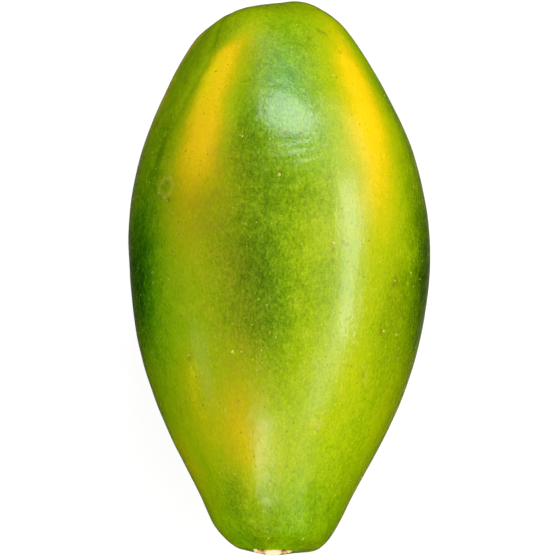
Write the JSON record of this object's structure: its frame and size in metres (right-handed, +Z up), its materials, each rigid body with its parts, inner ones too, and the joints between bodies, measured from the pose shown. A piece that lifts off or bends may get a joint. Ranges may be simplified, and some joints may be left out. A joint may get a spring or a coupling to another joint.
{
  "type": "papaya fruit",
  "caption": "Whole papaya lying on its side: long green fruit with yellow ripening streaks, a broad blossom end and a tapered end with a stalk scar.",
  "frame": {"origin": "on the surface the fruit lies on, under the middle of its box", "axes": "+Y along the fruit towards its blossom end, -Y towards its stalk scar, +Z up, +X to the right when seen from the stalk end"},
  "size_m": [0.1186, 0.2208, 0.118],
  "materials": {
    "rind": "waxy semi-gloss green rind, mottled lengthways, with soft yellow streaks, fine pale pores and brown specks"
  },
  "bodies": {
    "root": {"papaya": "rind"}
  },
  "joints": []
}
